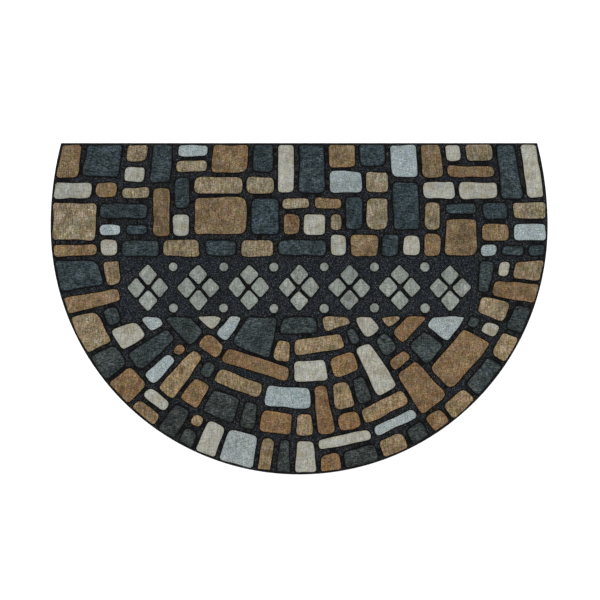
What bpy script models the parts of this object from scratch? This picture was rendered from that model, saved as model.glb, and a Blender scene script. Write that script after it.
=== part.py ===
"""A half-round doormat: a printed felt face with raised paving blocks, on a moulded rubber base.

The mat lies flat, with its straight edge to the back (+Y) and its round edge to the front (-Y).
The origin is on the ground under the middle of the mat. Lengths are in metres and angles in radians.
"""

import math
import random
from collections import namedtuple

import bmesh
import bpy

# Outline of the mat: half a circle in front, and behind its middle two sides that close in more gently
MAT_WIDTH = 0.9144
MAT_DEPTH = 0.6096
ROUND_RADIUS = MAT_WIDTH / 2
BACK_Y = MAT_DEPTH / 2
ROUND_CENTRE_Y = ROUND_RADIUS - MAT_DEPTH / 2
SIDE_REACH = 0.530
ROUND_STEPS = 84
SIDE_STEPS = 8

# Heights from the ground up, and the gap that parts the felt from the rubber
BASE_THICKNESS = 0.0050
PIECE_GAP = 0.0003
FELT_THICKNESS = 0.0015
BLOCK_HEIGHT = 0.0027
FELT_BOTTOM = BASE_THICKNESS + PIECE_GAP
CHANNEL_TOP = FELT_BOTTOM + FELT_THICKNESS

# The rubber lip that frames the felt, the chamfer along the rubber's edges, and the slope of a block's side
LIP_WIDTH = 0.0020
EDGE_CHAMFER = 0.0005
BLOCK_DRAFT = 0.0009

# The paving: blocks parted by channels, on a grid of modules
MODULE = 0.0096
FAN_COLUMNS = 120
CHANNEL_WIDTH = 0.0084
CHANNEL_SPREAD = 0.28
RIM_MARGIN = LIP_WIDTH + PIECE_GAP + 0.0011
FIELD_COLUMNS = round(MAT_WIDTH / MODULE)
LEAST_BLOCK_WIDTH = 0.0262
LEAST_BLOCK_ROWS = 3
LARGEST_BLOCK = 0.112
LEAST_BLOCK_AREA = 0.00024
SIZE_SPREAD = 0.16
SIDE_TILT = 0.035
RIM_CORNER = 0.0038
SMALL_CORNER = 0.0064
LARGE_CORNER = 0.0112
LARGEST_CORNER = 0.0165
LARGEST_CORNER_SHARE = 0.14
CORNER_PER_POINT = 0.0045
SAME_POINT = 0.0008
FIELD_SEED = 205
FAN_SEED = 246

# The plain band across the middle, and the fan of blocks that starts beside it
BAND_HALF_WIDTH = 0.330
BAND_BACK_Y = 0.0925
BAND_FRONT_Y = -0.0144
FAN_SLIDE = math.radians(70)
FIELD_ROWS = round((BACK_Y - BAND_BACK_Y) / MODULE)
FIELD_ROW_DEPTH = (BACK_Y - BAND_BACK_Y) / FIELD_ROWS

# The diamonds in the band, each cut in four, and the dots between them
DIAMOND_COUNT = 7
DIAMOND_PITCH = 0.0925
DIAMOND_HALF_WIDTH = 0.0430
DIAMOND_HALF_HEIGHT = 0.0475
DIAMOND_INSET = 0.0031
DIAMOND_CORNER = 0.0030
DOT_RADIUS = 0.0095
DOT_SIDES = 8

# What the blocks look like on average, and how often each kind is laid
BlockKind = namedtuple("BlockKind", "name width length share")
BLOCK_KINDS = (
    BlockKind("cobble", 0.035, 0.040, 11),
    BlockKind("flat brick", 0.060, 0.035, 26),
    BlockKind("upright brick", 0.037, 0.064, 16),
    BlockKind("long flat brick", 0.086, 0.036, 10),
    BlockKind("long upright brick", 0.034, 0.094, 7),
    BlockKind("square block", 0.050, 0.052, 10),
    BlockKind("flat slab", 0.076, 0.055, 9),
    BlockKind("upright slab", 0.054, 0.084, 7),
    BlockKind("flagstone", 0.100, 0.078, 4),
)

Block = namedtuple("Block", "first last start end")

# Colours are linear
RUBBER_COLOUR = (0.010, 0.010, 0.011)
FELT_COLOUR = (0.220, 0.180, 0.130)


def half_width(y):
    """Half the mat's width at a distance y from the middle of its depth."""
    rise = y - ROUND_CENTRE_Y
    reach = SIDE_REACH if rise > 0 else ROUND_RADIUS
    return ROUND_RADIUS * math.sqrt(1 - (rise / reach) ** 2)


def rim_distance(point):
    """How far inside the mat's edge a point lies."""
    x, y = point
    if y < ROUND_CENTRE_Y:
        return ROUND_RADIUS - math.hypot(x, y - ROUND_CENTRE_Y)
    return min(half_width(y) - abs(x), BACK_Y - y)


def mat_outline(inset):
    """The mat's edge moved inwards, anticlockwise from the back right corner."""
    radius = ROUND_RADIUS - inset
    reach = SIDE_REACH - inset
    corner_angle = math.asin((BACK_Y - inset - ROUND_CENTRE_Y) / reach)
    left_side = [
        (-radius * math.cos(angle), ROUND_CENTRE_Y + reach * math.sin(angle))
        for angle in (corner_angle * (1 - step / SIDE_STEPS) for step in range(SIDE_STEPS))
    ]
    front = [
        (-radius * math.cos(angle), ROUND_CENTRE_Y - radius * math.sin(angle))
        for angle in (math.pi * step / ROUND_STEPS for step in range(ROUND_STEPS + 1))
    ]
    right_side = [(-x, y) for x, y in reversed(left_side)]
    return left_side + front + right_side


def field_point(column, row):
    """A grid point of the straight courses: column 0 is the mat's left side, and row 0 its back edge."""
    y = BACK_Y - row * FIELD_ROW_DEPTH
    return ((2 * column / FIELD_COLUMNS - 1) * half_width(y), y)


def fan_line(column):
    """The angle of a fan line, the height on the middle line where it starts, and its length to the rim.

    The fan opens from the band's back edge at the mat's sides and from the rim's centre in front.
    """
    angle = math.pi * column / FAN_COLUMNS
    share = min(1.0, min(angle, math.pi - angle) / FAN_SLIDE)
    slide = share * share * (3 - 2 * share)
    start_y = BAND_BACK_Y + (ROUND_CENTRE_Y - BAND_BACK_Y) * slide
    drop = ROUND_CENTRE_Y - start_y
    half_chord = math.sqrt(ROUND_RADIUS**2 - (drop * math.cos(angle)) ** 2)
    return angle, start_y, half_chord - drop * math.sin(angle)


def fan_point(column, row):
    """A grid point of the fan: column 0 is its right end, and row 0 is on the rim."""
    angle, start_y, length = fan_line(column)
    reach = length - row * MODULE
    return (reach * math.cos(angle), start_y - reach * math.sin(angle))


def band_reach(column):
    """How far along a fan line the band's box ends."""
    angle, start_y, _ = fan_line(column)
    to_side = BAND_HALF_WIDTH / max(abs(math.cos(angle)), 0.001)
    to_front = (start_y - BAND_FRONT_Y) / max(math.sin(angle), 0.001)
    return min(to_side, to_front)


def fan_rows(column):
    """How many rows a fan column has between the rim and the band."""
    return (fan_line(column)[2] - band_reach(column)) / MODULE


def lowest_run(filled, limits):
    """The leftmost run of columns that are filled least and still have room, or None."""
    half_row = 0.5
    roomy = [level < limit - half_row for level, limit in zip(filled, limits)]
    if not any(roomy):
        return None
    low = min(level for level, has_room in zip(filled, roomy) if has_room)
    first = next(c for c, has_room in enumerate(roomy) if has_room and filled[c] == low)
    last = first
    while last < len(filled) and roomy[last] and filled[last] == low:
        last += 1
    return first, last


def block_size(first, last, start, place, dice):
    """Columns and rows of the next block, which never leaves a gap too narrow for another."""

    def width(from_column, to_column, row):
        return math.dist(place(from_column, row), place(to_column, row))

    kind = dice.choices(BLOCK_KINDS, [kind.share for kind in BLOCK_KINDS])[0]
    wanted = kind.width * dice.uniform(1 - SIZE_SPREAD, 1 + SIZE_SPREAD)
    rows = round(kind.length * dice.uniform(1 - SIZE_SPREAD, 1 + SIZE_SPREAD) / MODULE)
    rows = max(LEAST_BLOCK_ROWS, rows)
    run = last - first
    middle = start + rows / 2
    columns = next((n for n in range(1, run) if width(first, first + n, middle) >= wanted), run)
    while columns < run and width(first, first + columns, start + rows) < LEAST_BLOCK_WIDTH:
        columns += 1
    leftover = width(first + columns, last, start + LEAST_BLOCK_ROWS)
    if columns < run and leftover < LEAST_BLOCK_WIDTH:
        whole = width(first, last, start + LEAST_BLOCK_ROWS)
        splits = whole > max(1.45 * wanted, 2.1 * LEAST_BLOCK_WIDTH)
        columns = run // 2 if splits else run
    if width(first, first + columns, middle) > 0.75 * LARGEST_BLOCK:
        rows = min(rows, int(LARGEST_BLOCK / MODULE))
    return columns, rows


def lay_blocks(limits, place, dice):
    """Fills the grid with blocks, always where it is filled least, so that no gap is left.

    limits holds how many rows each column has, and place(column, row) gives a grid point.
    """
    filled = [0] * len(limits)
    blocks = []
    while run := lowest_run(filled, limits):
        first, last = run
        start = filled[first]
        columns, rows = block_size(first, last, start, place, dice)
        if columns < last - first and dice.random() < 0.4:
            first = last - columns
        last = first + columns
        end = start + rows
        for beside in (first - 1, last):
            inside = 0 <= beside < len(filled)
            if inside and filled[beside] > start and abs(filled[beside] - end) < LEAST_BLOCK_ROWS:
                end = filled[beside]
        room = max(limits[first:last]) - start
        if room - (end - start) < LEAST_BLOCK_ROWS - 0.6:
            too_long = room * MODULE > 1.2 * LARGEST_BLOCK
            end = start + (round(room / 2) if too_long else math.ceil(room))
        filled[first:last] = [end] * columns
        blocks.append(Block(first, last, start, end))
    return blocks


def cut_away(outline, point, inward):
    """Keeps the part of a convex outline on the inward side of a line through the point."""
    kept = []
    for here, after in zip(outline, outline[1:] + outline[:1]):
        depth = (here[0] - point[0]) * inward[0] + (here[1] - point[1]) * inward[1]
        next_depth = (after[0] - point[0]) * inward[0] + (after[1] - point[1]) * inward[1]
        if depth >= 0:
            kept.append(here)
        if (depth > 0) != (next_depth > 0) and depth != next_depth:
            share = depth / (depth - next_depth)
            kept.append(tuple(a + (b - a) * share for a, b in zip(here, after)))
    return kept


def area(outline):
    """The area of an outline, positive when it runs anticlockwise."""
    if len(outline) < 3:
        return 0.0
    pairs = zip(outline, outline[1:] + outline[:1])
    return sum(a[0] * b[1] - b[0] * a[1] for a, b in pairs) / 2


def draw_in(corners, margins, dice):
    """Moves each side of an anticlockwise cell inwards by its margin, and tilts it a little."""
    outline = [(x * MAT_WIDTH, y * MAT_WIDTH) for x, y in ((-1, -1), (1, -1), (1, 1), (-1, 1))]
    for here, after, margin in zip(corners, corners[1:] + corners[:1], margins):
        along = math.atan2(after[1] - here[1], after[0] - here[0])
        inward = along + math.pi / 2
        tilt = 0 if margin == RIM_MARGIN else dice.uniform(-SIDE_TILT, SIDE_TILT)
        middle = (
            (here[0] + after[0]) / 2 + margin * math.cos(inward),
            (here[1] + after[1]) / 2 + margin * math.sin(inward),
        )
        outline = cut_away(outline, middle, (math.cos(inward + tilt), math.sin(inward + tilt)))
    return outline


def without_short_sides(outline):
    """Drops points that nearly coincide with the one before them."""
    kept = []
    for point in outline:
        if not kept or math.dist(kept[-1], point) > SAME_POINT:
            kept.append(point)
    if len(kept) > 1 and math.dist(kept[0], kept[-1]) <= SAME_POINT:
        kept.pop()
    return kept


def corner_radius(corner, dice):
    """A corner on the rim is tight, and a few of the others are much rounder than the rest."""
    if rim_distance(corner) < RIM_MARGIN + SAME_POINT:
        return RIM_CORNER
    if dice.random() < LARGEST_CORNER_SHARE:
        return dice.uniform(LARGE_CORNER, LARGEST_CORNER)
    return dice.uniform(SMALL_CORNER, LARGE_CORNER)


def round_corners(outline, radii):
    """Rounds each corner by its own radius, with more points on a larger one."""
    least_turn = math.radians(14)
    rounded = []
    neighbours = zip(outline[-1:] + outline[:-1], outline, outline[1:] + outline[:1], radii)
    for before, corner, after, radius in neighbours:
        steps = 1 + int(radius / CORNER_PER_POINT)
        turn_in = math.atan2(corner[1] - before[1], corner[0] - before[0])
        turn_out = math.atan2(after[1] - corner[1], after[0] - corner[0])
        turn = abs((turn_out - turn_in + math.pi) % (2 * math.pi) - math.pi)
        if turn < least_turn:
            rounded.append(corner)
            continue
        most = 0.46 * min(math.dist(before, corner), math.dist(corner, after))
        cut = min(radius * math.tan(turn / 2), most)
        start = tuple(c - cut * d for c, d in zip(corner, (math.cos(turn_in), math.sin(turn_in))))
        end = tuple(c + cut * d for c, d in zip(corner, (math.cos(turn_out), math.sin(turn_out))))
        for step in range(steps + 1):
            t = step / steps
            rounded.append(
                tuple((1 - t) ** 2 * a + 2 * t * (1 - t) * b + t * t * c for a, b, c in zip(start, corner, end))
            )
    return without_short_sides(rounded)


def channel_share(dice):
    """Half a channel's width, which varies from block to block."""
    return CHANNEL_WIDTH / 2 * dice.uniform(1 - CHANNEL_SPREAD, 1 + CHANNEL_SPREAD)


def field_outlines():
    """The blocks of the straight courses behind the band."""
    dice = random.Random(FIELD_SEED)
    outlines = []
    for block in lay_blocks([FIELD_ROWS] * FIELD_COLUMNS, field_point, dice):
        front, right, back, left = (channel_share(dice) for _ in range(4))
        corners = [
            field_point(block.first, block.end),
            field_point(block.last, block.end),
            field_point(block.last, block.start),
            field_point(block.first, block.start),
        ]
        margins = [
            front,
            RIM_MARGIN if block.last == FIELD_COLUMNS else right,
            RIM_MARGIN if block.start == 0 else back,
            RIM_MARGIN if block.first == 0 else left,
        ]
        outlines.append(draw_in(corners, margins, dice))
    return outlines


def clear_of_band(outline, block):
    """Cuts a fan block back from the band: along the band's front, or squarely beside its end."""
    angle, start_y, _ = fan_line((block.first + block.last) / 2)
    outward = (math.cos(angle), -math.sin(angle))
    reach = BAND_HALF_WIDTH / max(abs(outward[0]), 0.2)
    beside_end = (reach * outward[0], start_y + reach * outward[1])
    choices = (
        cut_away(outline, (0, BAND_FRONT_Y), (0, -1)),
        cut_away(outline, beside_end, outward),
    )
    return cut_away(max(choices, key=area), (0, BAND_BACK_Y - CHANNEL_WIDTH / 2), (0, -1))


def fan_outlines():
    """The blocks that fan out from the band to the round rim."""
    dice = random.Random(FAN_SEED)
    limits = [fan_rows(column + 0.5) for column in range(FAN_COLUMNS)]
    rim_steps = 4
    outlines = []
    for block in lay_blocks(limits, fan_point, dice):
        on_rim = block.start == 0
        at_band = block.end >= max(limits[block.first : block.last])
        steps = rim_steps if on_rim else 1
        columns = [block.first + (block.last - block.first) * step / steps for step in range(steps + 1)]
        outer = [fan_point(column, block.start) for column in columns]
        inner_row = block.end + (LEAST_BLOCK_ROWS if at_band else 0)
        inner = [fan_point(block.last, inner_row), fan_point(block.first, inner_row)]
        outer_margin, left, inner_margin, right = (channel_share(dice) for _ in range(4))
        margins = [right, inner_margin, left] + [RIM_MARGIN if on_rim else outer_margin] * steps
        corners = [outer[0], inner[1], inner[0]] + outer[:0:-1]
        outlines.append(clear_of_band(draw_in(corners, margins, dice), block))
    return outlines


def paving_outlines():
    """All paving blocks with rounded corners: the straight courses first, then the fan."""
    dice = random.Random(FIELD_SEED)
    outlines = [without_short_sides(outline) for outline in field_outlines() + fan_outlines()]
    outlines = [outline for outline in outlines if area(outline) > LEAST_BLOCK_AREA]
    return [round_corners(outline, [corner_radius(corner, dice) for corner in outline]) for outline in outlines]


def band_outlines():
    """The row of diamonds, each cut in four, with dots above and below the gaps between them."""
    middle_y = (BAND_BACK_Y + BAND_FRONT_Y) / 2
    quarter_width = DIAMOND_HALF_WIDTH / 2
    quarter_height = DIAMOND_HALF_HEIGHT / 2
    outlines = []
    for number in range(DIAMOND_COUNT):
        diamond_x = (number - (DIAMOND_COUNT - 1) / 2) * DIAMOND_PITCH
        for across, up in ((-1, 0), (0, -1), (1, 0), (0, 1)):
            x = diamond_x + across * quarter_width
            y = middle_y + up * quarter_height
            tile = [
                (x - quarter_width + DIAMOND_INSET, y),
                (x, y - quarter_height + DIAMOND_INSET),
                (x + quarter_width - DIAMOND_INSET, y),
                (x, y + quarter_height - DIAMOND_INSET),
            ]
            outlines.append(round_corners(tile, [DIAMOND_CORNER] * len(tile)))
    for number in range(1, DIAMOND_COUNT):
        dot_x = (number - DIAMOND_COUNT / 2) * DIAMOND_PITCH
        for side in (-1, 1):
            dot_y = middle_y + side * (DIAMOND_HALF_HEIGHT - DOT_RADIUS)
            turns = [2 * math.pi * (corner + 0.5) / DOT_SIDES for corner in range(DOT_SIDES)]
            outlines.append([(dot_x + DOT_RADIUS * math.cos(t), dot_y + DOT_RADIUS * math.sin(t)) for t in turns])
    return outlines


# The solids
def loop(mesh, outline, height):
    """The edges of a closed outline at a height."""
    points = [mesh.verts.new((x, y, height)) for x, y in outline]
    return [mesh.edges.new(pair) for pair in zip(points, points[1:] + points[:1])]


def rings(mesh, profile):
    """The mat's outline once for each (inset, height) of a profile, joined by walls. Returns the loops."""
    loops = [loop(mesh, mat_outline(inset), height) for inset, height in profile]
    for lower, upper in zip(loops, loops[1:]):
        bmesh.ops.bridge_loops(mesh, edges=lower + upper)
    return loops


def material(name, colour, roughness):
    """A plain non-metallic finish."""
    made = bpy.data.materials.new(name)
    made.use_nodes = True
    shader = made.node_tree.nodes["Principled BSDF"]
    shader.inputs["Base Color"].default_value = (*colour, 1)
    shader.inputs["Roughness"].default_value = roughness
    shader.inputs["Metallic"].default_value = 0
    return made


def add_piece(name, mesh, finish):
    """Puts a finished bmesh into the scene as one object."""
    bmesh.ops.recalc_face_normals(mesh, faces=mesh.faces)
    data = bpy.data.meshes.new(name)
    mesh.to_mesh(data)
    mesh.free()
    data.materials.append(finish)
    piece = bpy.data.objects.new(name, data)
    bpy.context.collection.objects.link(piece)
    return piece


def rubber_base():
    """The moulded slab that lies on the ground, with the lip that stands around the felt."""
    mesh = bmesh.new()
    loops = rings(mesh, [
        (EDGE_CHAMFER, 0),
        (0, EDGE_CHAMFER),
        (0, CHANNEL_TOP - EDGE_CHAMFER),
        (EDGE_CHAMFER, CHANNEL_TOP),
        (LIP_WIDTH, CHANNEL_TOP),
        (LIP_WIDTH, BASE_THICKNESS),
    ])
    bmesh.ops.holes_fill(mesh, edges=loops[0] + loops[-1])
    return add_piece("rubber_base", mesh, material("black_crumb_rubber", RUBBER_COLOUR, 0.85))


def felt_face():
    """The felt sheet inside the lip. Its channels are flat, and its blocks stand up with sloping sides."""
    mesh = bmesh.new()
    edges = [loop(mesh, outline, CHANNEL_TOP) for outline in paving_outlines() + band_outlines()]
    blocks = bmesh.ops.edgeloop_fill(mesh, edges=[edge for ring in edges for edge in ring])["faces"]
    felt_inset = LIP_WIDTH + PIECE_GAP
    bottom, top = rings(mesh, [(felt_inset, FELT_BOTTOM), (felt_inset, CHANNEL_TOP)])
    bmesh.ops.holes_fill(mesh, edges=bottom)
    bmesh.ops.triangle_fill(mesh, edges=top + [edge for ring in edges for edge in ring], use_beauty=True)
    bmesh.ops.inset_individual(
        mesh, faces=blocks, thickness=BLOCK_DRAFT, depth=BLOCK_HEIGHT, use_even_offset=True
    )
    return add_piece("felt_face", mesh, material("printed_felt", FELT_COLOUR, 0.95))


for old in list(bpy.data.objects):
    bpy.data.objects.remove(old)
mat = bpy.data.objects.new("doormat", None)
bpy.context.collection.objects.link(mat)
for piece in (rubber_base(), felt_face()):
    piece.parent = mat
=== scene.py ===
# %% [markdown]
# # A half-round doormat
#
# This lesson dresses a doormat: felt with raised, printed paving blocks, lying in a tray of crumb rubber.
# The plain solids come ready in a frame, where each is called a node. They say where everything is.
# We keep to their sizes and make what the eye sees: soft relief, print colours, fibres and rubber grain.

# %% Load the mat's solids
import math
from collections import namedtuple

import bmesh
import bpy
import numpy as np
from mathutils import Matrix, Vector, kdtree, noise
from mathutils.geometry import delaunay_2d_cdt


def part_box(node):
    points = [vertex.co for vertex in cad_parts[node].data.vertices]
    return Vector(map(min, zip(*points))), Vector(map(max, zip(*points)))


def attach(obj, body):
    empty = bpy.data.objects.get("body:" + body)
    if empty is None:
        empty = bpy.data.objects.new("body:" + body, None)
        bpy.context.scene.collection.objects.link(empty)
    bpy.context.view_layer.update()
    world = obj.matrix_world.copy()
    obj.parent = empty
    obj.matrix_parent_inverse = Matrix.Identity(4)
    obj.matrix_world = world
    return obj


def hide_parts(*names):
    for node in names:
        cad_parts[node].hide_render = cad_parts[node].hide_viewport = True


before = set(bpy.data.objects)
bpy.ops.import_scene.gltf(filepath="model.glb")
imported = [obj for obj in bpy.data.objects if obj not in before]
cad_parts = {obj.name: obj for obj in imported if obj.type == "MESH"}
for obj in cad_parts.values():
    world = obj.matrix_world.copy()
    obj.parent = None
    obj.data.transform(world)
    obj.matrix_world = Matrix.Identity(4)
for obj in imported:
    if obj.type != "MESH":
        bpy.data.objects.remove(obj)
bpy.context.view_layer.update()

MM = 0.001
tray_low, tray_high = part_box("rubber_base")
felt_low, felt_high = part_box("felt_face")
mat_width, mat_depth = tray_high.x - tray_low.x, tray_high.y - tray_low.y
print("mat:", round(mat_width / MM, 1), "by", round(mat_depth / MM, 1), "mm")
print("felt from", round(felt_low.z / MM, 2), "to", round(felt_high.z / MM, 2), "mm above the ground")

# %% [markdown]
# ## The camera
#
# We look straight down at the mat, and no lines run together, so the camera hangs high with a long lens.
# An orthographic camera would give almost the same picture, but this one keeps a real camera's depth.

# %% Hang the camera over the mat
PICTURE_PIXELS = 600
MAT_PIXELS = 497.7
CAMERA_HEIGHT = 4.0
LOOK_AT = (0.0016, 0.0161)
FARTHEST_SEEN = 20


def put_in_scene(name, data):
    """A new object in the scene that shows the data."""
    made = bpy.data.objects.new(name, data)
    bpy.context.scene.collection.objects.link(made)
    return made


view_width = mat_width * PICTURE_PIXELS / MAT_PIXELS
lens_data = bpy.data.cameras.new("overhead_camera")
lens_data.lens = lens_data.sensor_width * (CAMERA_HEIGHT - felt_high.z) / view_width
lens_data.clip_end = FARTHEST_SEEN
camera = put_in_scene("overhead_camera", lens_data)
camera.location = (*LOOK_AT, CAMERA_HEIGHT)
bpy.context.scene.camera = camera
print("the picture is", round(view_width, 3), "m wide, through a lens of", round(lens_data.lens), "mm")

# %% [markdown]
# ## Where the blocks are
#
# The felt's solid already holds each paving block, diamond and dot, with coarse corners. Their flat tops are
# the highest faces. We merge the solid's doubled points and dissolve each group of top triangles into one
# face. The corners of that face, in order, are the block's outline.

# %% Read the levels of the felt and the outlines of its block tops
DOUBLES_DISTANCE = 0.01 * MM
LEVEL_TOLERANCE = 0.1 * MM


def signed_area(ring):
    """The area of a closed ring of points, positive when it runs anticlockwise."""
    after = np.roll(ring, -1, axis=0)
    return 0.5 * float(np.sum(ring[:, 0] * after[:, 1] - after[:, 0] * ring[:, 1]))


felt_solid = bmesh.new()
felt_solid.from_mesh(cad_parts["felt_face"].data)
bmesh.ops.remove_doubles(felt_solid, verts=felt_solid.verts, dist=DOUBLES_DISTANCE)
felt_bottom, channel_level, block_top = sorted({round(vert.co.z, 5) for vert in felt_solid.verts})
lowest_top = block_top - LEVEL_TOLERANCE
top_faces = [face for face in felt_solid.faces if min(vert.co.z for vert in face.verts) > lowest_top]
whole_tops = bmesh.ops.dissolve_faces(felt_solid, faces=top_faces, use_verts=False)["region"]
tops = [np.array([vert.co.xy[:] for vert in face.verts]) for face in whole_tops]
tops = [top if signed_area(top) > 0 else top[::-1] for top in tops]
tops.sort(key=lambda top: tuple(top.mean(axis=0)))
felt_solid.free()

block_height = block_top - channel_level
print(len(tops), "raised shapes stand", round(block_height / MM, 2), "mm over the channels")
print("the largest measures", round(max(map(signed_area, tops)) / MM**2), "square mm")

# %% [markdown]
# ## Softer outlines
#
# A felt block comes out of a mould, and the felt's thickness rounds its corners. We walk each outline in
# even steps and average each step with its neighbours. A slow random waver keeps the sides from being
# ruler straight. At last we space the points anew, closer together where the outline bends.

# %% Walk, blur and bend a ring of points
def walk(ring, count, weight=1.0):
    """Spaces count points along a closed ring, evenly or closer together where the weight is larger."""
    closed = np.vstack([ring, ring[:1]])
    steps = np.linalg.norm(np.diff(closed, axis=0), axis=1) * weight
    along = np.concatenate([[0], np.cumsum(steps)])
    places = np.arange(count) * along[-1] / count
    return np.stack([np.interp(places, along, closed[:, axis]) for axis in (0, 1)], axis=1)


def girth(ring):
    """The length of a closed ring."""
    return float(np.sum(np.linalg.norm(np.roll(ring, -1, axis=0) - ring, axis=1)))


def blur(values, reach):
    """Averages each value of a closed ring with its neighbours, under a bell curve so many steps wide."""
    away = np.minimum(np.arange(len(values)), len(values) - np.arange(len(values)))
    bell = np.exp(-0.5 * (away / reach) ** 2)
    spread = np.fft.fft(bell / bell.sum())
    return np.real(np.fft.ifft(np.fft.fft(values, axis=0).T * spread).T)


def outward(ring):
    """The unit direction out of an anticlockwise ring at each of its points."""
    along = np.roll(ring, -1, axis=0) - np.roll(ring, 1, axis=0)
    out = np.stack([along[:, 1], -along[:, 0]], axis=1)
    return out / np.linalg.norm(out, axis=1, keepdims=True)


def bend(ring):
    """How sharply a ring turns at each point, in radians per metre."""
    after = np.roll(ring, -1, axis=0) - ring
    before = np.roll(after, 1, axis=0)
    across = before[:, 0] * after[:, 1] - before[:, 1] * after[:, 0]
    turn = np.arctan2(across, np.sum(before * after, axis=1))
    return 2 * turn / (np.linalg.norm(before, axis=1) + np.linalg.norm(after, axis=1))


print("the first outline is", round(girth(tops[0]) / MM), "mm round")

# %% [markdown]
# ## The mat's edge
#
# In front the mat is half a circle. Behind the circle's middle its sides close in along a longer ellipse,
# and a straight back edge cuts them off. The same formula with an inset gives every edge that runs inside
# the first one: the felt's rim, and each step of the rubber lip.

# %% Work out the mat's edge at any inset
SIDE_REACH = 0.530
FRONT_STEPS = 420
SIDE_STEPS = 48
BACK_STEPS = 258

round_radius = mat_width / 2
back_y = mat_depth / 2
round_centre_y = round_radius - back_y


def mat_edge(inset):
    """The mat's edge moved inwards, anticlockwise from the left end of the back edge."""
    radius, reach, back = round_radius - inset, SIDE_REACH - inset, back_y - inset
    corner_angle = math.asin((back - round_centre_y) / reach)
    falling = corner_angle * (1 - np.arange(SIDE_STEPS) / SIDE_STEPS)
    left = np.stack([-radius * np.cos(falling), round_centre_y + reach * np.sin(falling)], axis=1)
    turning = math.pi * np.arange(FRONT_STEPS + 1) / FRONT_STEPS
    front = np.stack([-radius * np.cos(turning), round_centre_y - radius * np.sin(turning)], axis=1)
    right = left[::-1] * (-1, 1)
    across = np.linspace(right[-1], left[0], BACK_STEPS + 1)[1:-1]
    return np.vstack([left, front, right, across])


edge = mat_edge(0)
print("the mat's edge has", len(edge), "points and is", round(girth(edge), 3), "m long")
print("it encloses", round(signed_area(edge), 4), "square metres")

# %% [markdown]
# ## Outlines that wander a little
#
# Now every block gets its soft outline. The tops in the solid are smaller than the blocks' feet, because
# the sides slope, so we let each outline out by that much again. Nothing may cross the felt's own rim, so
# a point that would is drawn back towards the middle of the mat.

# %% Soften every block's outline
SIDE_SLOPE = 0.9 * MM
CORNER_SOFTNESS = 0.60 * MM
WAVER = 1.3 * MM
WAVER_LENGTH = 9.0 * MM
WALK_STEP = 0.9 * MM
SIDE_SPACING = 3.1 * MM
BEND_WEIGHT = 7.0 * MM
BEND_BLUR = 2
RIM_ROOM = 0.25 * MM
SMALL_SHAPE = 30 * MM
SMALL_SHAPE_WAVER = 0.5
OUTLINE_SEED = 12
TINY = 1e-9

felt_inset = felt_low.x - tray_low.x
felt_rim = mat_edge(felt_inset)
rim_angles = np.arctan2(felt_rim[:, 1], felt_rim[:, 0])
rim_order = np.argsort(rim_angles)
rim_reaches = np.linalg.norm(felt_rim, axis=1)


def keep_inside(ring, room):
    """Draws points that lie closer to the felt's rim than the room back towards the middle of the mat."""
    reach = np.linalg.norm(ring, axis=1)
    angles = np.arctan2(ring[:, 1], ring[:, 0])
    most = np.interp(angles, rim_angles[rim_order], rim_reaches[rim_order], period=2 * math.pi)
    return ring * np.minimum(1, (most - room) / reach)[:, None]


def soften(top, dice):
    """A block's foot outline with round corners and sides that waver, its points spaced by the bends."""
    ring = walk(top, round(girth(top) / WALK_STEP))
    ring = blur(ring, CORNER_SOFTNESS / WALK_STEP)
    waver = blur(dice.normal(size=len(ring)), WAVER_LENGTH / WALK_STEP)
    waver *= WAVER / max(np.abs(waver).max(), TINY)
    if np.ptp(top, axis=0).max() < SMALL_SHAPE:
        waver *= SMALL_SHAPE_WAVER
    ring = ring + outward(ring) * (SIDE_SLOPE + waver)[:, None]
    weight = 1 + BEND_WEIGHT * np.abs(blur(bend(ring), BEND_BLUR))
    steps = np.linalg.norm(np.roll(ring, -1, axis=0) - ring, axis=1)
    return walk(ring, math.ceil(float(np.sum(steps * weight)) / SIDE_SPACING), weight)


dice = np.random.default_rng(OUTLINE_SEED)
feet = [keep_inside(soften(top, dice), 2 * RIM_ROOM) for top in tops]
print(len(feet), "soft outlines with", sum(map(len, feet)), "points in all")

# %% [markdown]
# ## Relief in rings
#
# From its foot a block rises in a soft curve: a steep side, a round shoulder and a nearly flat crown. We
# lay copies of its outline inside each other, like contour lines on a map, and give each its height.
# Where an outline bends sharply, the inner copies move in less, or they would fold over themselves.

# %% Lay the rings of every block
Contour = namedtuple("Contour", "inwards height_share")
CONTOURS = (
    Contour(-0.9 * MM, 0.00),
    Contour(0.0 * MM, 0.07),
    Contour(0.5 * MM, 0.60),
    Contour(1.1 * MM, 0.92),
    Contour(2.6 * MM, 1.00),
)
TIGHTEST_BEND_SHARE = 0.62
RADIUS_BLUR = 1.5

points, inwards, height_shares, owners, fences = [], [], [], [], []
for number, foot in enumerate(feet):
    out = outward(foot)
    bend_radius = 1 / np.maximum(blur(np.abs(bend(foot)), RADIUS_BLUR), 1)
    for contour in CONTOURS:
        move = np.minimum(contour.inwards, TIGHTEST_BEND_SHARE * bend_radius)
        ring = keep_inside(foot - out * move[:, None], RIM_ROOM)
        first = len(points)
        places = first + np.arange(len(ring))
        points.extend(ring)
        fences.extend(zip(places.tolist(), np.roll(places, -1).tolist()))
        inwards.extend([contour.inwards] * len(ring))
        height_shares.extend([contour.height_share] * len(ring))
        owners.extend([number] * len(ring))
print(len(points), "points on", len(feet) * len(CONTOURS), "rings")

# %% [markdown]
# ## Points between the rings
#
# The crowns and the channels also need points of their own, or their triangles would be too long to bend
# softly. A grid of points in rows covers the mat, and we keep those that lie clear of every ring. A k-d
# tree finds the nearest ring point quickly. It also tells whether a point is on a crown or in a channel.

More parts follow.
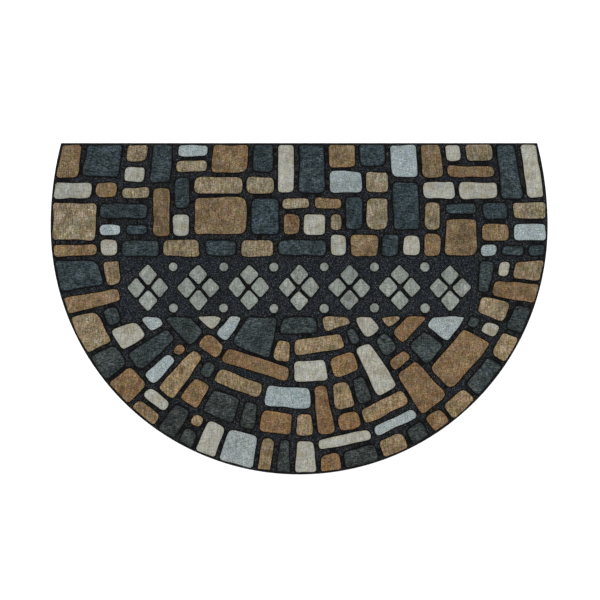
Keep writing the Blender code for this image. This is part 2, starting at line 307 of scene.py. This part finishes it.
# %% Scatter points over crowns and channels
GRID_STEP = 5.4 * MM
ROW_STEP = GRID_STEP * math.sqrt(0.75)
GRID_JITTER = 0.9 * MM
CLEARANCE = 2.3 * MM
CHANNEL = -1
CHANNEL_INWARDS, CROWN_INWARDS = CONTOURS[0].inwards, CONTOURS[-1].inwards
RIM_HEIGHT_SHARE = -0.08

rim_first = len(points)
points.extend(felt_rim)
rim_places = (rim_first + np.arange(len(felt_rim))).tolist()
fences.extend(zip(rim_places, rim_places[1:] + rim_places[:1]))
inwards.extend([2 * CHANNEL_INWARDS] * len(felt_rim))
height_shares.extend([RIM_HEIGHT_SHARE] * len(felt_rim))
owners.extend([CHANNEL] * len(felt_rim))

tree = kdtree.KDTree(len(points))
for place, (x, y) in enumerate(points):
    tree.insert((x, y, 0), place)
tree.balance()

rows = np.arange(-back_y, back_y, ROW_STEP)
columns = np.arange(-round_radius, round_radius, GRID_STEP)
grid_x, grid_y = np.meshgrid(columns, rows)
grid_x = grid_x + GRID_STEP / 2 * (np.arange(len(rows)) % 2)[:, None]
grid = np.stack([grid_x.ravel(), grid_y.ravel()], axis=1)
grid += dice.uniform(-GRID_JITTER, GRID_JITTER, grid.shape)
grid = grid[np.linalg.norm(grid - keep_inside(grid, CLEARANCE), axis=1) < TINY]

for x, y in grid:
    _, nearest, distance = tree.find((x, y, 0))
    if distance < CLEARANCE:
        continue
    on_crown = inwards[nearest] == CROWN_INWARDS
    points.append((x, y))
    inwards.append(CROWN_INWARDS + distance if on_crown else CHANNEL_INWARDS - distance)
    height_shares.append(1.0 if on_crown else 0.0)
    owners.append(owners[nearest] if on_crown else CHANNEL)
points, inwards, height_shares, owners = map(np.array, (points, inwards, height_shares, owners))
between_rings = len(points) - rim_first - len(felt_rim)
print(len(points), "points in all, of which", between_rings, "lie between rings")

# %% [markdown]
# ## One sheet of triangles
#
# A constrained Delaunay triangulation joins all points into well shaped triangles and keeps every ring as
# a line that no triangle crosses. It could be done ring by ring with bridged loops, but this makes crowns,
# sides and channels one seamless sheet in a single call.

# %% Join the points into triangles
ALL_TRIANGLES = 0
SAME_POINT = 1e-7

flat_points = [Vector(point) for point in points]
places, _, triangles, came_from, _, _ = delaunay_2d_cdt(flat_points, fences, [], ALL_TRIANGLES, SAME_POINT)
order = np.array([
    sources[0] if sources else tree.find((*place, 0))[1] for place, sources in zip(places, came_from)
])
places, triangles = np.array(places), np.array(triangles)
print(len(triangles), "triangles;", len(places) - len(points), "points where two rings crossed")

# %% [markdown]
# ## Heights
#
# Pressed felt is never quite even. Each point gets the height of its contour, and slow noise lifts or sinks
# crowns and channels by a tenth of a millimetre or two. The crowns also swell a little towards the middle.

# %% Raise the sheet into relief
CROWN_SWELL = 0.20 * MM
SWELL_REACH = 7.0 * MM
CROWN_UNEVEN = 0.16 * MM
CHANNEL_UNEVEN = 0.10 * MM
UNEVEN_SIZE = 17 * MM
UNEVEN_LAYER = 3.7
SHOULDER_LEVEL = block_height - CROWN_SWELL - CROWN_UNEVEN / 2

inwards, height_shares, owners = inwards[order], height_shares[order], owners[order]
swell = CROWN_SWELL * (1 - np.exp(-np.maximum(inwards - CROWN_INWARDS, 0) / SWELL_REACH))
drift = np.array([noise.noise((x / UNEVEN_SIZE, y / UNEVEN_SIZE, UNEVEN_LAYER)) for x, y in places])
uneven = CHANNEL_UNEVEN + (CROWN_UNEVEN - CHANNEL_UNEVEN) * np.clip(height_shares, 0, 1)
heights = channel_level + SHOULDER_LEVEL * height_shares + swell + uneven * drift
lowest, highest = heights.min() / MM, heights.max() / MM
print("the felt's surface lies from", round(lowest, 2), "to", round(highest, 2), "mm")

# %% [markdown]
# ## Which block gets which print
#
# The face is printed before it is pressed. Two browns cover nearly half the stone, slate a third, cream and
# pale blue the rest. We deal the prints like cards: the deck holds the area that each print still has to
# cover, and a block prefers a print that its neighbours don't have. Diamonds and dots share a grey green.

# %% Deal the prints to the blocks
# share: hundredths of the paving. dark, middle, light, edge: inks. fade: how many mm inside its foot
# a block's ink starts to give way to painted near-black shade. upright, level, fluff: how much threads and
# fluff show.
# fleck, patch, own: how strong dark flecks, tinted patches and a block's own warmth are. front: how much
# warmer blocks get in front.
Print = namedtuple(
    "Print", "name share dark middle light edge fade upright level fluff fleck patch own front"
)
PRINTS = (
    Print(
        "rust_brown_print", share=26.5,
        dark=(86, 69, 49), middle=(116, 96, 71), light=(140, 118, 90), edge=(130, 101, 68),
        fade=1.0, upright=0.30, level=0.24, fluff=0.90, fleck=0.55, patch=0.26, own=0.045, front=1.2,
    ),
    Print(
        "sand_print", share=21,
        dark=(97, 86, 67), middle=(126, 112, 89), light=(147, 133, 109), edge=(132, 112, 84),
        fade=1.0, upright=0.42, level=0.32, fluff=0.74, fleck=0.35, patch=0.22, own=0.055, front=1.0,
    ),
    Print(
        "slate_print", share=31.5,
        dark=(38, 44, 45), middle=(52, 60, 61), light=(66, 74, 76), edge=(43, 50, 52),
        fade=2.4, upright=0.28, level=0.70, fluff=1.00, fleck=0.30, patch=0.12, own=0.045, front=1.9,
    ),
    Print(
        "cream_print", share=13,
        dark=(135, 129, 111), middle=(153, 152, 141), light=(162, 164, 156), edge=(147, 143, 127),
        fade=1.0, upright=0.20, level=0.18, fluff=0.40, fleck=0.14, patch=0.11, own=0.035, front=0.35,
    ),
    Print(
        "pale_blue_print", share=8,
        dark=(120, 130, 131), middle=(141, 151, 152), light=(154, 164, 165), edge=(140, 150, 151),
        fade=1.0, upright=0.14, level=0.14, fluff=0.66, fleck=0.60, patch=0.08, own=0.025, front=0.5,
    ),
)
BAND_PRINT = Print(
    "grey_green_print", share=0,
    dark=(106, 111, 106), middle=(130, 136, 130), light=(149, 155, 149), edge=(120, 126, 120),
    fade=1.0, upright=0.24, level=0.24, fluff=0.42, fleck=0.28, patch=0.07, own=0.02, front=0.0,
)
BAND_LEVELS = (-0.0144, 0.0925)
BAND_END = 0.330
NEIGHBOURS = 6
DISLIKE = 6.0
LEAST_LEFT = 0.01
DEAL_SEED = 796


def lies_in_band(spots):
    """Whether each spot lies in the band across the middle of the mat."""
    level = spots[:, 1]
    return (np.abs(spots[:, 0]) < BAND_END) & (level > BAND_LEVELS[0]) & (level < BAND_LEVELS[1])


middles = np.array([foot.mean(axis=0) for foot in feet])
in_band = lies_in_band(middles)
paving = np.flatnonzero(~in_band)
areas = np.array([signed_area(foot) for foot in feet])
deck = np.array([recipe.share for recipe in PRINTS]) / 100 * areas[paving].sum()
dealt = np.full(len(feet), len(PRINTS))
given = np.zeros(len(feet), bool)
dealer = np.random.default_rng(DEAL_SEED)
for number in dealer.permutation(paving):
    distances = np.linalg.norm(middles - middles[number], axis=1)
    nearby = [near for near in np.argsort(distances)[1 : NEIGHBOURS + 1] if given[near]]
    same = np.array([sum(dealt[near] == kind for near in nearby) for kind in range(len(PRINTS))])
    wish = np.maximum(deck, LEAST_LEFT * deck.max()) / (1 + DISLIKE * same)
    dealt[number] = dealer.choice(len(PRINTS), p=wish / wish.sum())
    given[number] = True
    deck[dealt[number]] -= areas[number]
covered = [areas[paving][dealt[paving] == kind].sum() / areas[paving].sum() for kind in range(len(PRINTS))]
for recipe, count, share in zip(PRINTS, np.bincount(dealt[paving]), covered):
    print(count, "blocks get the", recipe.name, "and make", round(100 * share), "hundredths of the paving")
print(int(in_band.sum()), "shapes in the band get the", BAND_PRINT.name)

# %% [markdown]
# ## The felt as one piece
#
# The sheet's triangles make the face. A short wall and a flat underside close it, so it is a real sheet with
# a thickness. Each triangle gets the print of the block that owns its three corners, and the others get the
# dark felt of the channels. Separate objects for blocks and channels would be simpler to colour, but they
# would leave seams, and real felt has none.

# %% Close the sheet and hand out its materials
CHANNEL_SLOT = len(PRINTS) + 1

corner_owners = owners[triangles]
one_owner = (corner_owners == corner_owners[:, :1]).all(axis=1) & (corner_owners[:, 0] != CHANNEL)
slots = np.where(one_owner, dealt[corner_owners[:, 0]], CHANNEL_SLOT)

place_of = {int(source): place for place, source in enumerate(order)}
top_rim = [place_of[place] for place in rim_places]
under_rim = list(range(len(order), len(order) + len(felt_rim)))
next_top, next_under = top_rim[1:] + top_rim[:1], under_rim[1:] + under_rim[:1]
walls = list(zip(under_rim, next_under, next_top, top_rim))
vertices = np.vstack([
    np.column_stack([places, heights]),
    np.column_stack([felt_rim, np.full(len(felt_rim), felt_bottom)]),
])
felt_data = bpy.data.meshes.new("printed_felt")
felt_data.from_pydata(vertices.tolist(), [], triangles.tolist() + walls + [under_rim[::-1]])
other_slots = np.full(len(walls) + 1, CHANNEL_SLOT)
felt_data.polygons.foreach_set("material_index", np.concatenate([slots, other_slots]))
felt_data.polygons.foreach_set("use_smooth", [True] * (len(triangles) + len(walls)) + [False])
print("the felt has", len(felt_data.polygons), "faces and", len(vertices), "points")

# %% [markdown]
# ## No two stones alike
#
# Each block is a little lighter or darker, and a little warmer or cooler, than its print. Towards the front
# of the mat the blocks get warmer. The mesh keeps such numbers for each of its points and the materials read
# them, so one recipe serves all blocks of a print. It also keeps how far a point lies inside its block.
# In a channel the tone says whether the point lies in the open band, where the felt is a little lighter.

# %% Write how far inside its block each point lies, and each block's tone and warmth
# At the neutral level the front pulls no block warmer, and this far in front of it the pull is full
NEUTRAL_LEVEL = -0.025
FRONT_REACH = 0.175
OWN_WARMTH = 0.6


def point_numbers(data, name, values):
    """Stores one number for each point of a mesh, for a material to read by name."""
    attribute = data.attributes.new(name, "FLOAT", "POINT")
    attribute.data.foreach_set("value", np.asarray(values, np.float32))


tones, warmths = dice.uniform(-1, 1, (2, len(feet) + 1))
forward = np.clip((NEUTRAL_LEVEL - middles[:, 1]) / FRONT_REACH, -1, 1)
front_pulls = np.array([recipe.front for recipe in (*PRINTS, BAND_PRINT)])
warmths[:-1] = OWN_WARMTH * warmths[:-1] + front_pulls[dealt] * forward
point_tones = np.where(owners == CHANNEL, lies_in_band(places), tones[owners])
under_inwards = np.full(len(felt_rim), CHANNEL_INWARDS)
plain = np.zeros(len(felt_rim))
point_numbers(felt_data, "inside_mm", np.concatenate([inwards, under_inwards]) / MM)
point_numbers(felt_data, "tone", np.concatenate([point_tones, plain]))
point_numbers(felt_data, "warmth", np.concatenate([warmths[owners], plain]))
felt_data.update()
print("tones run from", round(float(tones.min()), 2), "to", round(float(tones.max()), 2))

# %% [markdown]
# ## A bench for mixing finishes
#
# Every finish here is made of nodes, and most of them do the same few things: make noise of some size, turn
# a value into a share from 0 to 1, mix two colours, make a colour darker or lighter. They could be linked
# by hand in the editor, but a small class with one method for each keeps the recipes short enough to read.

# %% Build the bench
TINT_PARTS = (1.3, 0.3, 2.4)
WARM_PARTS = (0.5, 0.0, -0.5)
UNCHANGED = (1.0, 1.0, 1.0)
MOST_SWING = 0.96

# Between which two values a share rises, and what it rises from and to
Rise = namedtuple("Rise", "low high start end", defaults=(0.0, 1.0))
THREAD_RISE = Rise(0.25, 0.75, -1.0, 1.0)


def ink(red, green, blue):
    """A printed colour, given from 0 to 255 as on a screen, in the linear light that Blender counts in."""
    linear = [
        level / 255 / 12.92 if level < 10.3 else ((level / 255 + 0.055) / 1.055) ** 2.4
        for level in (red, green, blue)
    ]
    return (*linear, 1.0)


class Bench:
    """One material, and a short way to add each kind of node to it."""

    def __init__(self, name):
        self.material = bpy.data.materials.new(name)
        self.material.use_nodes = True
        self.tree = self.material.node_tree
        self.shader = self.tree.nodes["Principled BSDF"]
        self.spot = self.node("ShaderNodeTexCoord").outputs["Object"]

    def node(self, kind, settings=None, **sockets):
        """Adds a node. A socket is named or numbered, as in Scale=3 or s1=3, and takes a value or a link."""
        made = self.tree.nodes.new(kind)
        for name, value in (settings or {}).items():
            setattr(made, name, value)
        for name, value in sockets.items():
            place = int(name[1:]) if name[1:].isdigit() else name.replace("_", " ")
            socket = made.inputs[place]
            if isinstance(value, bpy.types.NodeSocket):
                self.tree.links.new(value, socket)
            else:
                socket.default_value = value
        return made

    def reading(self, name):
        """A number that the mesh keeps for each of its points."""
        return self.node("ShaderNodeAttribute", {"attribute_name": name}).outputs["Fac"]

    def maths(self, operation, one, other=0.0):
        """The sum, difference or product of two values."""
        return self.node("ShaderNodeMath", {"operation": operation}, s0=one, s1=other).outputs[0]

    def triple(self, operation, *values, **sockets):
        """The same for points and colours, which are three numbers each."""
        numbered = {f"s{place}": value for place, value in enumerate(values)}
        return self.node("ShaderNodeVectorMath", {"operation": operation}, **numbered, **sockets).outputs[0]

    def noise(self, across, along=None, detail=2.0):
        """Noise whose spots are so many metres across (x) and along (y)."""
        along = along or across
        scaled = self.triple("MULTIPLY", self.spot, (1 / across, 1 / along, 2 / (across + along)))
        return self.node("ShaderNodeTexNoise", Vector=scaled, Scale=1.0, Detail=detail).outputs["Fac"]

    def tint(self, colour, across, strength):
        """Shifts a colour in patches so many metres across, most of all in blue and hardly in green."""
        scaled = self.triple("SCALE", self.spot, Scale=1 / across)
        patches = self.node("ShaderNodeTexNoise", Vector=scaled, Scale=1.0, Detail=3.0, Roughness=0.6)
        spread = tuple(2 * strength * part for part in TINT_PARTS)
        lowest = tuple(1 - strength * part for part in TINT_PARTS)
        gain = self.triple("MULTIPLY_ADD", patches.outputs["Color"], spread, lowest)
        return self.triple("MULTIPLY", colour, gain)

    def share(self, value, low, high, start=0.0, end=1.0):
        """Turns a value from low to high into a smooth share from start to end."""
        settings = {"interpolation_type": "SMOOTHSTEP"}
        made = self.node("ShaderNodeMapRange", settings, s0=value, s1=low, s2=high, s3=start, s4=end)
        return made.outputs[0]

    def mix(self, share, one, other):
        """Mixes two colours, from all one to all the other."""
        return self.node("ShaderNodeMix", {"data_type": "RGBA"}, s0=share, s6=one, s7=other).outputs[2]

    def warm(self, colour, warmth, reach):
        """Adds red and takes as much blue where the warmth is 1, and the other way round where it is -1."""
        shift = tuple(reach * part for part in WARM_PARTS)
        return self.triple("MULTIPLY", colour, self.triple("MULTIPLY_ADD", warmth, shift, UNCHANGED))

    def shade(self, colour, threads, swing, paper):
        """Lightens and darkens a colour along threads, by as many levels of red as of green and blue."""
        gains = tuple(min(MOST_SWING, swing * sum(paper) / 3 / level) for level in paper)
        light = self.share(threads, *THREAD_RISE)
        return self.triple("MULTIPLY", colour, self.triple("MULTIPLY_ADD", light, gains, UNCHANGED))

    def dim(self, colour, factor):
        """Makes a colour darker, or lighter where the factor is over 1."""
        return self.triple("SCALE", colour, Scale=factor)

    def finish(self, colour, height, depth, **constants):
        """Plugs the colour and the bumps in, and sets the shader's own numbers."""
        bump = self.node("ShaderNodeBump", Strength=1.0, Distance=depth, Height=height)
        self.tree.links.new(bump.outputs[0], self.shader.inputs["Normal"])
        self.tree.links.new(colour, self.shader.inputs["Base Color"])
        for name, value in constants.items():
            self.shader.inputs[name.replace("_", " ")].default_value = value
        return self.material


print("a mid grey of 128 is", round(ink(128, 128, 128)[0], 3), "in linear light")

# %% [markdown]
# ## Printed felt
#
# The print imitates stone: clouds of a darker and a lighter ink, dark flecks, and edges of a warmer tone.
# It lies on needled felt, whose threads run up and down and from side to side, with fine fluff between them.
# Sand shows its upright threads most, slate those from side to side, and rust brown hardly more than fluff.
# At a block's foot the ink ends, and near-black painted shade covers its steep side and the crease below, so
# a black line parts every block from its channel; on slate the painted shade starts further in. A picture of
# stones could be laid on instead, but noise gives every block a pattern of its own.

# %% Mix the prints for the blocks
FIBRE = 1.3 * MM
THREAD_WIDTH = 1.8 * MM
UPRIGHT_LENGTH, LEVEL_LENGTH = 13.0 * MM, 6.0 * MM
CLOUD_SIZE = 19 * MM
CLOUD_PULL = 0.03
DARK_CLOUDS = Rise(0.30, 0.50, 0.2, 1.0)
LIGHT_CLOUDS = Rise(0.50, 0.72, 0.0, 0.8)
EDGE_RISE = Rise(5.5, 1.0)
EDGE_THREADS = Rise(0.38, 0.62, 0.0, 0.75)
PATCH_SIZE = 13 * MM
FLECK_SIZE = 2.6 * MM
FLECKS_FROM, FLECKS_FULL = 0.58, 0.72
TONE_RISE = Rise(-1.0, 1.0, 0.94, 1.06)
WARMTH_REACH = 2.2
# Painted shade: a near-black ink for each block's steep side and the crease at its foot, darker than any bare
# felt; partly where the print ends, partly shade painted in
FOOT_SHADE_INK = ink(3, 3, 5)
FOOT_SHADE_FULL = 0.55
BUMP_DEPTH = 0.30 * MM
FELT_SHADER = dict(Roughness=0.95, Specular_IOR_Level=0.08, Sheen_Weight=0.085, Sheen_Roughness=0.5)


def felt_threads(bench):
    """Threads both ways, and the fine fluff between them, each from 0 to 1."""
    upright = bench.noise(THREAD_WIDTH, UPRIGHT_LENGTH, 1.0)
    level = bench.noise(LEVEL_LENGTH, THREAD_WIDTH, 1.0)
    return upright, level, bench.noise(FIBRE, detail=1.0)


def block_print(recipe):
    """The felt on top of one kind of block."""
    bench = Bench(recipe.name)
    inside, tone = bench.reading("inside_mm"), bench.reading("tone")
    upright, level, fluff = felt_threads(bench)
    clouds = bench.noise(CLOUD_SIZE, detail=3.0)
    clouds = bench.maths("ADD", clouds, bench.maths("MULTIPLY", tone, CLOUD_PULL))
    colour = bench.mix(bench.share(clouds, *DARK_CLOUDS), ink(*recipe.dark), ink(*recipe.middle))
    colour = bench.mix(bench.share(clouds, *LIGHT_CLOUDS), colour, ink(*recipe.light))
    border = bench.maths("MULTIPLY", bench.share(inside, *EDGE_RISE), bench.share(upright, *EDGE_THREADS))
    colour = bench.mix(border, colour, ink(*recipe.edge))
    flecks = bench.noise(FLECK_SIZE, detail=0.0)
    flecks = bench.share(flecks, FLECKS_FROM, FLECKS_FULL, 0.0, recipe.fleck)
    colour = bench.mix(flecks, colour, ink(*recipe.dark))
    for threads, swing in ((upright, recipe.upright), (level, recipe.level), (fluff, recipe.fluff)):
        colour = bench.shade(colour, threads, swing, recipe.middle)
    colour = bench.dim(colour, bench.share(tone, *TONE_RISE))
    colour = bench.warm(colour, bench.reading("warmth"), WARMTH_REACH * recipe.own)
    colour = bench.tint(colour, PATCH_SIZE, recipe.patch)
    # Painted shade: towards its foot the block turns near black, partly where the ink ends and partly as
    # shade in the crease
    colour = bench.mix(bench.share(inside, recipe.fade, FOOT_SHADE_FULL), colour, FOOT_SHADE_INK)
    height = bench.maths("ADD", bench.maths("ADD", upright, level), fluff)
    return bench.finish(colour, height, BUMP_DEPTH, **FELT_SHADER)


felt_finishes = [block_print(recipe) for recipe in (*PRINTS, BAND_PRINT)]
print([finish.name for finish in felt_finishes])

# %% [markdown]
# ## The felt of the channels
#
# Between the blocks the felt shows its own charcoal, which is needled from fibres of several colours. In the
# open it is a little blue, and beside a block it is neutral, where some ink strays over the edge. The pale
# specks are single light fibres. It could share the blocks' recipe, but it has no clouds, flecks or warm
# edges, so a shorter recipe of its own is easier to follow.

# %% Mix the dark felt of the channels
MOTTLE_SIZE = 4.2 * MM
MOTTLE_RISE = Rise(0.35, 0.65)
OPEN_INKS = ink(14, 20, 26), ink(21, 25, 30)
BESIDE_INKS = ink(15, 17, 17), ink(21, 21, 20)
BESIDE_RISE = Rise(-5.0, -1.5)
SPECK_SIZE = 1.6 * MM
SPECK_RISE = Rise(0.53, 0.70, 0.0, 0.9)
SPECK_INK = ink(74, 75, 77)
CHANNEL_SWINGS = (0.30, 0.30, 0.95)
BAND_RISE = Rise(0.0, 1.0, 1.0, 1.12)
CHANNEL_PATCH = 0.17
# Painted shade: the channel turns near black within 1.5 mm of a block's foot, standing in for the shade in
# the crease
CHANNEL_FOOT_SHADE = Rise(-1.5, -0.5)
CHANNEL_SHEEN = 0.04


def channel_felt():
    """The charcoal felt between the blocks, with specks of paler fibre in it."""
    bench = Bench("charcoal_felt")
    inside, tone = bench.reading("inside_mm"), bench.reading("tone")
    fibres = felt_threads(bench)
    mottle = bench.share(bench.noise(MOTTLE_SIZE, detail=1.0), *MOTTLE_RISE)
    in_the_open, beside_blocks = bench.mix(mottle, *OPEN_INKS), bench.mix(mottle, *BESIDE_INKS)
    colour = bench.mix(bench.share(inside, *BESIDE_RISE), in_the_open, beside_blocks)
    specks = bench.share(bench.noise(SPECK_SIZE, detail=1.0), *SPECK_RISE)
    colour = bench.mix(specks, colour, SPECK_INK)
    for threads, swing in zip(fibres, CHANNEL_SWINGS):
        gain = bench.share(threads, THREAD_RISE.low, THREAD_RISE.high, 1 - swing, 1 + swing)
        colour = bench.dim(colour, gain)
    colour = bench.dim(colour, bench.share(tone, *BAND_RISE))
    colour = bench.tint(colour, PATCH_SIZE, CHANNEL_PATCH)
    # Painted shade in the crease beside each block's foot
    colour = bench.mix(bench.share(inside, *CHANNEL_FOOT_SHADE), colour, FOOT_SHADE_INK)
    constants = {**FELT_SHADER, "Sheen_Weight": CHANNEL_SHEEN}
    upright, _, fluff = fibres
    return bench.finish(colour, bench.maths("ADD", upright, fluff), BUMP_DEPTH, **constants)


felt_finishes.append(channel_felt())
for finish in felt_finishes:
    felt_data.materials.append(finish)
felt = put_in_scene("printed_felt", felt_data)
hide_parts("felt_face")
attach(felt, "root")
print("the felt has", len(felt_data.materials), "finishes")

# %% [markdown]
# ## The rubber tray
#
# Crumb rubber is ground tyres pressed with a binder. The tray is one slab with a low lip around the felt.
# We build it as rings of points, each with an inset and a height, from the ground over the lip and down to
# the floor of the tray. Each ring wanders by a grain's width, because pressed crumb never has a sharp edge.

# %% Build the tray ring by ring
UNDER_FELT = 0.3 * MM
TRAY_FLOOR = felt_bottom - UNDER_FELT
LIP_WIDTH = 2.0 * MM
CRUMB = 1.9 * MM
CRUMB_DEPTH = 0.10 * MM
GRAIN_SHIFTS = (Vector((0.0, 0.0, 0.0)), Vector((41.3, 7.9, 0.0)), Vector((13.7, 58.1, 0.0)))

Step = namedtuple("Step", "inset height")
lip_top = tray_high.z
TRAY_STEPS = (
    Step(0.9 * MM, 0.0),
    Step(0.4 * MM, 0.1 * MM),
    Step(0.1 * MM, 0.5 * MM),
    Step(0.0 * MM, lip_top / 2),
    Step(0.1 * MM, lip_top - 0.5 * MM),
    Step(0.4 * MM, lip_top - 0.1 * MM),
    Step(1.1 * MM, lip_top),
    Step(LIP_WIDTH - 0.3 * MM, lip_top - 0.1 * MM),
    Step(LIP_WIDTH, lip_top - 0.5 * MM),
    Step(LIP_WIDTH, TRAY_FLOOR),
)


def crumbly(point, height):
    """A point of the tray, moved by the rubber's grain unless it lies on the ground or the tray's floor."""
    place = Vector((*point, height))
    if height in (0.0, TRAY_FLOOR):
        return place
    return place + CRUMB_DEPTH * Vector([noise.noise(place / CRUMB + shift) for shift in GRAIN_SHIFTS])


tray_mesh = bmesh.new()
tray_rings = [
    [tray_mesh.verts.new(crumbly(point, step.height)) for point in mat_edge(step.inset)]
    for step in TRAY_STEPS
]
for lower, upper in zip(tray_rings, tray_rings[1:]):
    for place, corner in enumerate(lower):
        tray_mesh.faces.new((lower[place - 1], corner, upper[place], upper[place - 1])).smooth = True
tray_mesh.faces.new(tray_rings[0][::-1])
tray_mesh.faces.new(tray_rings[-1])
tray_data = bpy.data.meshes.new("rubber_tray")
tray_mesh.to_mesh(tray_data)
tray_mesh.free()
tray = put_in_scene("rubber_tray", tray_data)
print("the tray has", len(tray_data.polygons), "faces in", len(TRAY_STEPS), "rings")

# %% [markdown]
# ## The finish of the rubber
#
# Up close, crumb rubber is black grains of many sizes, with greyer ones where a cut face catches the light.
# Each grain could be modelled, but they are too small for that. Voronoi cells give bumps in the shape of
# grains, fine noise breaks them up, and slower noise makes some places greyer.

# %% Grind the rubber
GREYER_SIZE = 2.4 * MM
GREYER_RISE = Rise(0.50, 0.75)
RUBBER_INKS = ink(14, 14, 15), ink(38, 38, 40)
FINE_GRAIN = 0.8 * MM
RUBBER_SHADER = dict(Roughness=0.82, Specular_IOR_Level=0.25)


def crumb_rubber():
    """Matt black rubber in grains, a few of them a little greyer."""
    bench = Bench("black_crumb_rubber")
    grains = bench.node("ShaderNodeTexVoronoi", Vector=bench.spot, Scale=1 / CRUMB, Randomness=1.0)
    greyer = bench.share(bench.noise(GREYER_SIZE, detail=1.0), *GREYER_RISE)
    colour = bench.mix(greyer, *RUBBER_INKS)
    height = bench.maths("SUBTRACT", bench.noise(FINE_GRAIN, detail=2.0), grains.outputs["Distance"])
    return bench.finish(colour, height, BUMP_DEPTH, **RUBBER_SHADER)


tray_data.materials.append(crumb_rubber())
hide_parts("rubber_base")
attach(tray, "root")
print("the tray's finish is", tray_data.materials[0].name)

# %% [markdown]
# ## The felt's rim
#
# It is cut along its rim, so its area is that of the rim and not of a rectangle.

# %% [markdown]
# ## Floor and light
#
# The mat lies on a white light table, as in many catalogues: the table glows a little, so it stays white
# beside a thick dark object. A white sky gives even fill, and one broad sun stands almost overhead, a little
# to the back. It leaves the blocks' steep sides a little darker than their crowns; with the near-black shade
# painted at each block's foot, that is all that shows the relief from straight above. A lower sun would show
# more of it, but the mat looks flatter than that.

# %% Lay the floor and light the mat
FLOOR_REACH = 9.0
SKY_STRENGTH = 0.80
SUN_STRENGTH = 1.01
TABLE_GLOW = 0.45
SUN_SPREAD = math.radians(28)
SUN_FROM = Vector((-0.10, 0.30, 1.0))

PAPER_INKS = ink(249, 249, 249), ink(253, 253, 253)
PAPER_CLOUDS = 0.4
PAPER_GRAIN = 2 * MM
PAPER_DEPTH = 0.02 * MM
FLOOR_SHADER = dict(
    Roughness=0.9, Specular_IOR_Level=0.1, Emission_Color=(1, 1, 1, 1), Emission_Strength=TABLE_GLOW
)

floor_data = bpy.data.meshes.new("studio_floor")
corners = [(x * FLOOR_REACH, y * FLOOR_REACH, 0) for x, y in ((-1, -1), (1, -1), (1, 1), (-1, 1))]
floor_data.from_pydata(corners, [], [(0, 1, 2, 3)])
floor_bench = Bench("white_floor")
paper = floor_bench.mix(floor_bench.noise(PAPER_CLOUDS, detail=2.0), *PAPER_INKS)
paper_grain = floor_bench.noise(PAPER_GRAIN)
floor_data.materials.append(floor_bench.finish(paper, paper_grain, PAPER_DEPTH, **FLOOR_SHADER))
floor = put_in_scene("studio_floor", floor_data)

sky = bpy.data.worlds.new("white_sky")
sky.use_nodes = True
sky_shader = sky.node_tree.nodes["Background"]
sky_shader.inputs["Color"].default_value = (1, 1, 1, 1)
sky_shader.inputs["Strength"].default_value = SKY_STRENGTH
bpy.context.scene.world = sky

sun_data = bpy.data.lights.new("broad_sun", "SUN")
sun_data.energy = SUN_STRENGTH
sun_data.angle = SUN_SPREAD
sun = put_in_scene("broad_sun", sun_data)
sun.rotation_euler = SUN_FROM.to_track_quat("Z", "Y").to_euler()
bpy.context.scene.view_settings.view_transform = "Standard"
brightness = SKY_STRENGTH + SUN_STRENGTH * SUN_FROM.normalized().z / math.pi
print("a white paper on the floor would show at", round(brightness, 2), "times full white")
